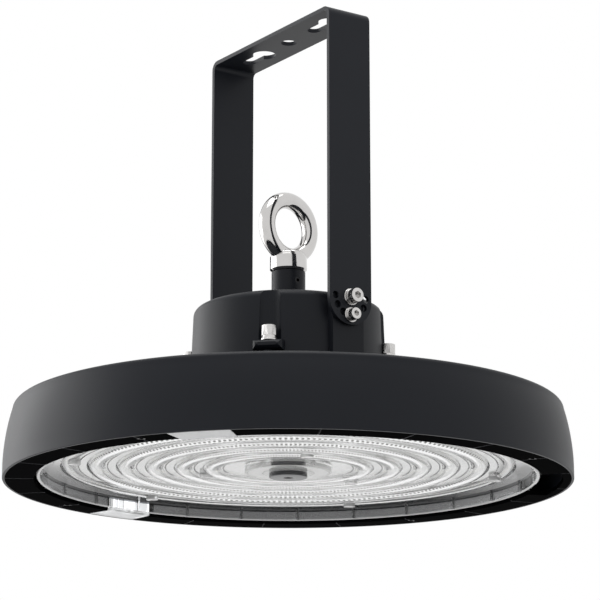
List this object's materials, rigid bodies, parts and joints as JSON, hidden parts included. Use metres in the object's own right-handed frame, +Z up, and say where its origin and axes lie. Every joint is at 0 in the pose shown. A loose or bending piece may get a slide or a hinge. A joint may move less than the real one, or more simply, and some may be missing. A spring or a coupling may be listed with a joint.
{
  "type": "high bay light",
  "caption": "Round suspended high bay light with a finned cast body, driver box, folded strap bracket, eyebolt and clear ring lens.",
  "frame": {"origin": "centre of the bracket's middle fixing hole, on the upper face that goes against the ceiling", "axes": "+Z up, out of the bracket's upper face and along the light's own axis; +X towards the bracket leg that is nearer in the picture; the legs lie on +X and -X"},
  "size_m": [0.34, 0.34, 0.281],
  "materials": {
    "cast_black": "satin black powder coat on cast aluminium",
    "steel_black": "satin black powder coat on steel strap",
    "black_plastic": "gloss black moulding",
    "dark_plastic": "matt dark grey moulding",
    "stainless": "bright stainless steel",
    "polished_steel": "polished steel",
    "black_screw": "blackened steel",
    "clear_plastic": "clear moulded plastic",
    "seal_rubber": "soft sealing rubber",
    "board_white": "white solder mask",
    "lamp_yellow": "phosphor under clear resin",
    "driver_grey": "plain metal can",
    "terminal_white": "moulded terminal block",
    "lead_red": "insulated lead"
  },
  "bodies": {
    "root": {"housing": "cast_black", "driver_box": "cast_black", "box_gasket": "seal_rubber", "box_screws": "stainless", "box_spring_washers": "stainless", "box_washers": "stainless", "u_bracket": "steel_black", "pivot_screws": "stainless", "pivot_spring_washers": "stainless", "pivot_washers": "stainless", "index_screws": "stainless", "index_spring_washers": "stainless", "index_washers": "stainless", "eyebolt": "polished_steel", "set_screw": "black_screw", "lens": "clear_plastic", "lens_gasket": "seal_rubber", "bezel_ring": "black_plastic", "bezel_screws": "black_screw", "led_board": "board_white", "leds": "lamp_yellow", "board_screws": "stainless", "centre_plug": "dark_plastic", "centre_plate": "board_white", "centre_screw": "black_screw", "led_driver": "driver_grey", "driver_screws": "stainless", "terminal_block": "terminal_white", "board_leads": "lead_red", "gland_body": "dark_plastic", "gland_nut": "dark_plastic", "gland_seal": "seal_rubber", "gland_lock_nut": "dark_plastic"}
  },
  "joints": []
}
